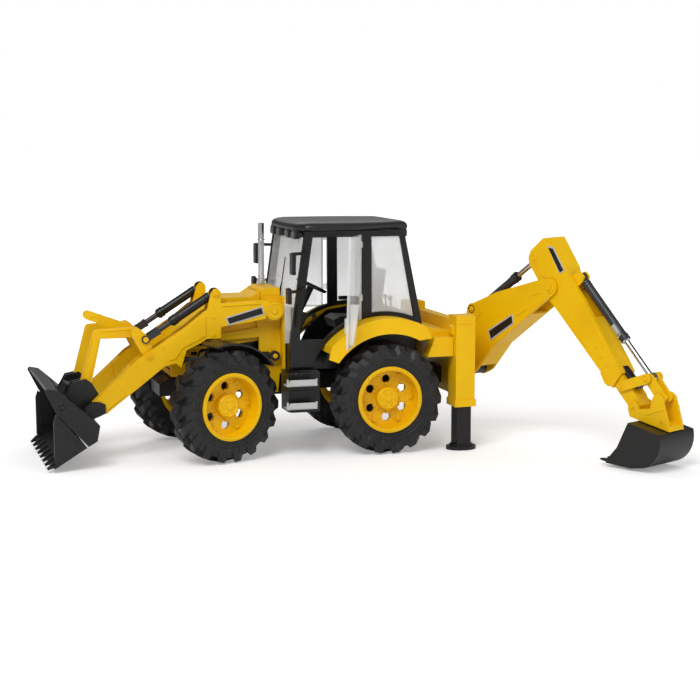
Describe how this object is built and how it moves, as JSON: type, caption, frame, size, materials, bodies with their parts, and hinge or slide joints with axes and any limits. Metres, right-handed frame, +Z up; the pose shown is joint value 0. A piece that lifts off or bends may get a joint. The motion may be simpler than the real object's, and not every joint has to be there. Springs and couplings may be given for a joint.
{
  "type": "backhoe loader",
  "caption": "Toy backhoe loader with a tilting front bucket on lift arms, an enclosed cab, drop-down stabiliser legs and a swinging rear digging arm.",
  "frame": {"origin": "on the ground under the middle of the rear axle", "axes": "+X forward, +Y to the machine's left, +Z up"},
  "size_m": [0.4985, 0.2982, 0.1937],
  "materials": {
    "yellow": "moulded yellow ABS, satin gloss",
    "black": "moulded black plastic, matt",
    "grey": "moulded dark grey plastic, matt",
    "chrome": "metallised plastic",
    "silver": "silver-grey plastic",
    "clear": "clear moulded plastic",
    "tyre": "soft black plastic",
    "lamp": "clear lamp plastic",
    "roof": "moulded black plastic, satin"
  },
  "bodies": {
    "chassis": {"cab_floor": "black", "cab_frame": "black", "cab_windows": "clear", "console": "black", "cowl": "yellow", "engine_block": "black", "exhaust": "chrome", "fenders": "yellow", "front_axle": "black", "lamps": "lamp", "leg_housings": "yellow", "loader_frame": "yellow", "main_frame": "black", "mirrors": "black", "rear_axle": "black", "rear_frame": "yellow", "roof": "roof", "seat": "black", "side_boxes": "black", "steering_wheel": "black", "step_treads": "silver"},
    "bonnet": {"bonnet": "yellow"},
    "left_door": {"door_left": "clear"},
    "right_door": {"door_right": "clear"},
    "left_knuckle": {"knuckle_left": "black"},
    "right_knuckle": {"knuckle_right": "black"},
    "front_left_wheel": {"tyre_front_left": "tyre", "rim_front_left": "yellow"},
    "front_right_wheel": {"tyre_front_right": "tyre", "rim_front_right": "yellow"},
    "rear_left_wheel": {"tyre_rear_left": "tyre", "rim_rear_left": "yellow"},
    "rear_right_wheel": {"tyre_rear_right": "tyre", "rim_rear_right": "yellow"},
    "loader_arms": {"loader_arms": "yellow"},
    "lift_barrels": {"lift_barrels": "black"},
    "lift_rods": {"lift_rods": "grey"},
    "tilt_barrels": {"tilt_barrels": "black"},
    "tilt_rods": {"tilt_rods": "grey"},
    "bell_cranks": {"bell_cranks": "yellow"},
    "bucket_links": {"bucket_links": "yellow"},
    "loader_bucket": {"bucket_back": "black"},
    "bucket_clam": {"bucket_clam": "black"},
    "left_stabiliser": {"stabiliser_leg_left": "black"},
    "right_stabiliser": {"stabiliser_leg_right": "black"},
    "carriage": {"carriage": "black"},
    "kingpost": {"kingpost": "black"},
    "boom": {"boom": "yellow"},
    "boom_ram_barrel": {"boom_ram_barrel": "grey"},
    "boom_ram_rod": {"boom_ram_rod": "chrome"},
    "dipper": {"dipper": "yellow"},
    "dipper_ram_barrel": {"dipper_ram_barrel": "grey"},
    "dipper_ram_rod": {"dipper_ram_rod": "chrome"},
    "dipper_extension": {"dipper_extension": "yellow"},
    "bucket_ram_barrel": {"bucket_ram_barrel": "grey"},
    "bucket_ram_rod": {"bucket_ram_rod": "chrome"},
    "tipping_lever": {"tipping_lever": "yellow"},
    "hoe_bucket_link": {"hoe_bucket_link": "yellow"},
    "hoe_bucket": {"hoe_bucket": "black", "quick_hitch": "yellow"}
  },
  "joints": [
    {"name": "bonnet_hinge", "type": "hinge", "parent": "chassis", "child": "bonnet", "pos_m": [0.0984, 0, 0.1355], "axis": [0, 1, 0], "range_deg": [-50, 0]},
    {"name": "left_door_hinge", "type": "hinge", "parent": "chassis", "child": "left_door", "pos_m": [0.0198, 0.0534, 0.15], "axis": [0, 0, 1], "range_deg": [-60, 25]},
    {"name": "right_door_hinge", "type": "hinge", "parent": "chassis", "child": "right_door", "pos_m": [0.0198, -0.0534, 0.15], "axis": [0, 0, -1], "range_deg": [0, 85]},
    {"name": "left_steering", "type": "hinge", "parent": "chassis", "child": "left_knuckle", "pos_m": [0.144, 0.04, 0.0465], "axis": [0, 0, 1], "range_deg": [-38, 0]},
    {"name": "front_left_wheel_spin", "type": "hinge", "parent": "left_knuckle", "child": "front_left_wheel", "pos_m": [0.13773, 0.0582, 0.0465], "axis": [-0.3256, 0.9455, 0], "continuous": true},
    {"name": "rear_left_wheel_spin", "type": "hinge", "parent": "chassis", "child": "rear_left_wheel", "pos_m": [0, 0.05925, 0.0465], "axis": [0, 1, 0], "continuous": true},
    {"name": "right_steering", "type": "hinge", "parent": "chassis", "child": "right_knuckle", "pos_m": [0.144, -0.04, 0.0465], "axis": [0, 0, 1], "range_deg": [-38.5, 0.5]},
    {"name": "front_right_wheel_spin", "type": "hinge", "parent": "right_knuckle", "child": "front_right_wheel", "pos_m": [0.15027, -0.0582, 0.0465], "axis": [-0.3256, 0.9455, 0], "continuous": true},
    {"name": "rear_right_wheel_spin", "type": "hinge", "parent": "chassis", "child": "rear_right_wheel", "pos_m": [0, -0.05925, 0.0465], "axis": [0, 1, 0], "continuous": true},
    {"name": "loader_lift", "type": "hinge", "parent": "chassis", "child": "loader_arms", "pos_m": [0.0897, 0, 0.1199], "axis": [0, -1, 0], "range_deg": [0, 45]},
    {"name": "lift_barrel_swing", "type": "hinge", "parent": "chassis", "child": "lift_barrels", "pos_m": [0.088, 0, 0.0815], "axis": [0, -1, 0], "range_deg": [-1, 40.17]},
    {"name": "lift_rod_slide", "type": "slide", "parent": "lift_barrels", "child": "lift_rods", "axis": [1, 0, -0.005], "range_m": [-0.0005, 0.02909]},
    {"name": "loader_bucket_tilt", "type": "hinge", "parent": "loader_arms", "child": "loader_bucket", "pos_m": [0.236, 0, 0.045], "axis": [0, -1, 0], "range_deg": [-40, 28]},
    {"name": "bell_crank_swing", "type": "hinge", "parent": "loader_arms", "child": "bell_cranks", "pos_m": [0.1948, 0, 0.0865], "axis": [0, -1, 0], "range_deg": [-41, 29]},
    {"name": "bucket_link_swing", "type": "hinge", "parent": "bell_cranks", "child": "bucket_links", "pos_m": [0.204, 0, 0.1045], "axis": [0, -1, 0], "range_deg": [-29, 41]},
    {"name": "tilt_barrel_swing", "type": "hinge", "parent": "loader_arms", "child": "tilt_barrels", "pos_m": [0.1389, 0, 0.1359], "axis": [0, -1, 0], "range_deg": [-1.89, 2.48]},
    {"name": "tilt_rod_slide", "type": "slide", "parent": "tilt_barrels", "child": "tilt_rods", "axis": [0.8464, 0, -0.5326], "range_m": [-0.00666, 0.00909]},
    {"name": "bucket_clam_hinge", "type": "hinge", "parent": "loader_bucket", "child": "bucket_clam", "pos_m": [0.2695, 0, 0.0525], "axis": [0, -1, 0], "range_deg": [0, 40]},
    {"name": "left_stabiliser_slide", "type": "slide", "parent": "chassis", "child": "left_stabiliser", "axis": [0, 0, 1], "range_m": [0, 0.03]},
    {"name": "right_stabiliser_slide", "type": "slide", "parent": "chassis", "child": "right_stabiliser", "axis": [0, 0, 1], "range_m": [0, 0.03]},
    {"name": "side_shift", "type": "slide", "parent": "chassis", "child": "carriage", "axis": [0, 1, 0], "range_m": [-0.03, 0.03]},
    {"name": "boom_swing", "type": "hinge", "parent": "carriage", "child": "kingpost", "pos_m": [-0.092, 0, 0.07], "axis": [0, 0, -1], "range_deg": [-141, 15]},
    {"name": "boom_lift", "type": "hinge", "parent": "kingpost", "child": "boom", "pos_m": [-0.09836, 0.01247, 0.062], "axis": [-0.891, -0.454, 0], "range_deg": [-14, 20]},
    {"name": "boom_barrel_swing", "type": "hinge", "parent": "kingpost", "child": "boom_ram_barrel", "pos_m": [-0.0979, 0.01158, 0.09], "axis": [-0.891, -0.454, 0], "range_deg": [-17.48, 24.54]},
    {"name": "boom_rod_slide", "type": "slide", "parent": "boom_ram_barrel", "child": "boom_ram_rod", "axis": [-0.3951, 0.7754, 0.4926], "range_m": [-0.00706, 0.00966]},
    {"name": "dipper_swing", "type": "hinge", "parent": "boom", "child": "dipper", "pos_m": [-0.14012, 0.09445, 0.1394], "axis": [0.891, 0.454, 0], "range_deg": [-35, 20]},
    {"name": "dipper_barrel_swing", "type": "hinge", "parent": "boom", "child": "dipper_ram_barrel", "pos_m": [-0.10108, 0.01782, 0.1146], "axis": [0.891, 0.454, 0], "range_deg": [-0.64, 0.58]},
    {"name": "dipper_rod_slide", "type": "slide", "parent": "dipper_ram_barrel", "child": "dipper_ram_rod", "axis": [-0.3668, 0.7199, 0.5892], "range_m": [-0.01135, 0.01911]},
    {"name": "dipper_extend", "type": "slide", "parent": "dipper", "child": "dipper_extension", "axis": [-0.3119, 0.6122, -0.7266], "range_m": [0, 0.03]},
    {"name": "hoe_bucket_curl", "type": "hinge", "parent": "dipper_extension", "child": "hoe_bucket", "pos_m": [-0.1788, 0.17036, 0.0493], "axis": [0.891, 0.454, 0], "range_deg": [-40, 25]},
    {"name": "tipping_lever_swing", "type": "hinge", "parent": "dipper_extension", "child": "tipping_lever", "pos_m": [-0.17321, 0.15937, 0.0638], "axis": [0.891, 0.454, 0], "range_deg": [-41, 26]},
    {"name": "hoe_link_swing", "type": "hinge", "parent": "tipping_lever", "child": "hoe_bucket_link", "pos_m": [-0.18391, 0.18039, 0.07248], "axis": [0.891, 0.454, 0], "range_deg": [-26, 41]},
    {"name": "bucket_barrel_swing", "type": "hinge", "parent": "dipper_extension", "child": "bucket_ram_barrel", "pos_m": [-0.15147, 0.11672, 0.14804], "axis": [0.891, 0.454, 0], "range_deg": [-5.06, 3.35]},
    {"name": "bucket_rod_slide", "type": "slide", "parent": "bucket_ram_barrel", "child": "bucket_ram_rod", "axis": [-0.3119, 0.6122, -0.7266], "range_m": [-0.01025, 0.01581]}
  ],
  "couplings": [
    {"joint": "right_steering", "follows": "left_steering", "ratio": 1},
    {"joint": "lift_barrel_swing", "follows": "loader_lift", "ratio": 0.8704},
    {"joint": "lift_rod_slide", "follows": "loader_lift", "m_per_rad": 0.03576},
    {"joint": "bell_crank_swing", "follows": "loader_bucket_tilt", "ratio": 1},
    {"joint": "bucket_link_swing", "follows": "loader_bucket_tilt", "ratio": -1},
    {"joint": "tilt_barrel_swing", "follows": "loader_bucket_tilt", "ratio": -0.0495},
    {"joint": "tilt_rod_slide", "follows": "loader_bucket_tilt", "m_per_rad": -0.011583},
    {"joint": "boom_barrel_swing", "follows": "boom_lift", "ratio": 1.177},
    {"joint": "boom_rod_slide", "follows": "boom_lift", "m_per_rad": 0.024807},
    {"joint": "dipper_barrel_swing", "follows": "dipper_swing", "ratio": 0.0041},
    {"joint": "dipper_rod_slide", "follows": "dipper_swing", "m_per_rad": -0.029653},
    {"joint": "tipping_lever_swing", "follows": "hoe_bucket_curl", "ratio": 1},
    {"joint": "hoe_link_swing", "follows": "hoe_bucket_curl", "ratio": -1},
    {"joint": "bucket_barrel_swing", "follows": "hoe_bucket_curl", "ratio": 0.114},
    {"joint": "bucket_rod_slide", "follows": "hoe_bucket_curl", "m_per_rad": -0.02121}
  ]
}
